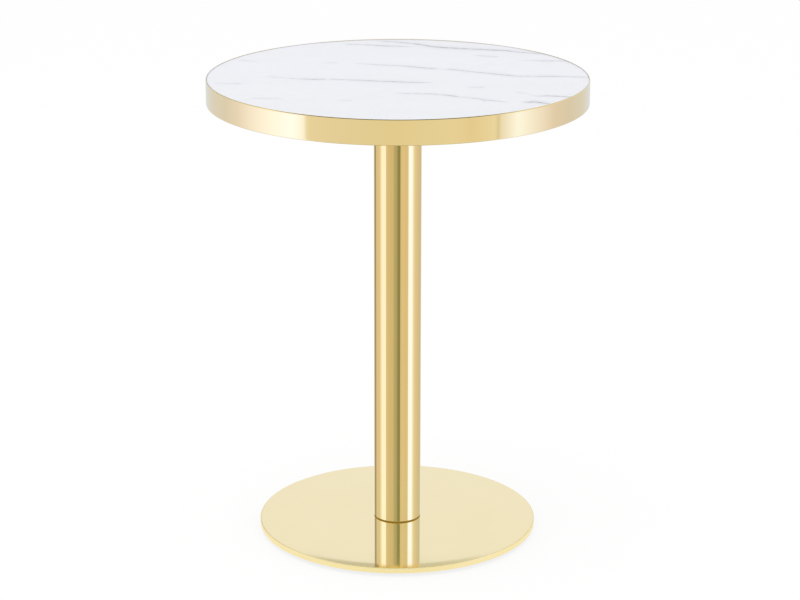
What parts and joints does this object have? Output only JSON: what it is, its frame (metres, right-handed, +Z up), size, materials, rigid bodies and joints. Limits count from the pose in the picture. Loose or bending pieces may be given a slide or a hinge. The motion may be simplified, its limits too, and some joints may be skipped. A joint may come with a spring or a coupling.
{
  "type": "round pedestal table",
  "caption": "Round pedestal table: marble-look top in a polished gold metal band, on a gold tube column and a thin flat disc base with levelling glides.",
  "frame": {"origin": "on the floor, on the column's axis, with the glides screwed right in", "axes": "+Z up the column, -Y towards the viewer of the picture, +X to that viewer's right"},
  "size_m": [0.6, 0.6, 0.75],
  "materials": {
    "marble_laminate": "satin marble-look laminate",
    "core_board": "raw fibreboard",
    "black_backing": "matt phenolic sheet",
    "polished_gold": "mirror-polished gold-coloured stainless steel",
    "black_coat": "fine-textured powder coat",
    "bright_steel": "zinc-plated",
    "plain_steel": "turned steel",
    "yellow_brass": "turned brass",
    "amber_rubber": "satin",
    "ivory_nylon": "moulded"
  },
  "bodies": {
    "table": {"top_laminate": "marble_laminate", "top_core": "core_board", "backing_sheet": "black_backing", "edge_band": "polished_gold", "threaded_inserts": "yellow_brass", "mounting_plate": "black_coat", "fixing_washers": "bright_steel", "fixing_bolts": "bright_steel", "head_plug": "plain_steel", "head_screws": "bright_steel", "column_tube": "polished_gold", "foot_plug": "plain_steel", "foot_gasket": "amber_rubber", "foot_screws": "bright_steel", "base_cover": "polished_gold", "base_ballast": "black_coat"},
    "glide_pad_1": {"glide_pad_1": "ivory_nylon"},
    "glide_stud_1": {"glide_stud_1": "bright_steel"},
    "glide_pad_2": {"glide_pad_2": "ivory_nylon"},
    "glide_stud_2": {"glide_stud_2": "bright_steel"},
    "glide_pad_3": {"glide_pad_3": "ivory_nylon"},
    "glide_stud_3": {"glide_stud_3": "bright_steel"},
    "glide_pad_4": {"glide_pad_4": "ivory_nylon"},
    "glide_stud_4": {"glide_stud_4": "bright_steel"}
  },
  "joints": [
    {"name": "glide_1_lift", "type": "slide", "parent": "table", "child": "glide_pad_1", "axis": [0, 0, -1], "range_m": [0, 0.003]},
    {"name": "glide_1_turn", "type": "hinge", "parent": "glide_pad_1", "child": "glide_stud_1", "pos_m": [0.192, 0, 0], "axis": [0, 0, -1], "range_deg": [0, 864]},
    {"name": "glide_2_lift", "type": "slide", "parent": "table", "child": "glide_pad_2", "axis": [0, 0, -1], "range_m": [0, 0.003]},
    {"name": "glide_2_turn", "type": "hinge", "parent": "glide_pad_2", "child": "glide_stud_2", "pos_m": [0, 0.192, 0], "axis": [0, 0, -1], "range_deg": [0, 864]},
    {"name": "glide_3_lift", "type": "slide", "parent": "table", "child": "glide_pad_3", "axis": [0, 0, -1], "range_m": [0, 0.003]},
    {"name": "glide_3_turn", "type": "hinge", "parent": "glide_pad_3", "child": "glide_stud_3", "pos_m": [-0.192, 0, 0], "axis": [0, 0, -1], "range_deg": [0, 864]},
    {"name": "glide_4_lift", "type": "slide", "parent": "table", "child": "glide_pad_4", "axis": [0, 0, -1], "range_m": [0, 0.003]},
    {"name": "glide_4_turn", "type": "hinge", "parent": "glide_pad_4", "child": "glide_stud_4", "pos_m": [0, -0.192, 0], "axis": [0, 0, -1], "range_deg": [0, 864]}
  ],
  "couplings": [
    {"joint": "glide_1_turn", "follows": "glide_1_lift", "rad_per_m": 5026.5},
    {"joint": "glide_2_turn", "follows": "glide_2_lift", "rad_per_m": 5026.5},
    {"joint": "glide_3_turn", "follows": "glide_3_lift", "rad_per_m": 5026.5},
    {"joint": "glide_4_turn", "follows": "glide_4_lift", "rad_per_m": 5026.5}
  ]
}
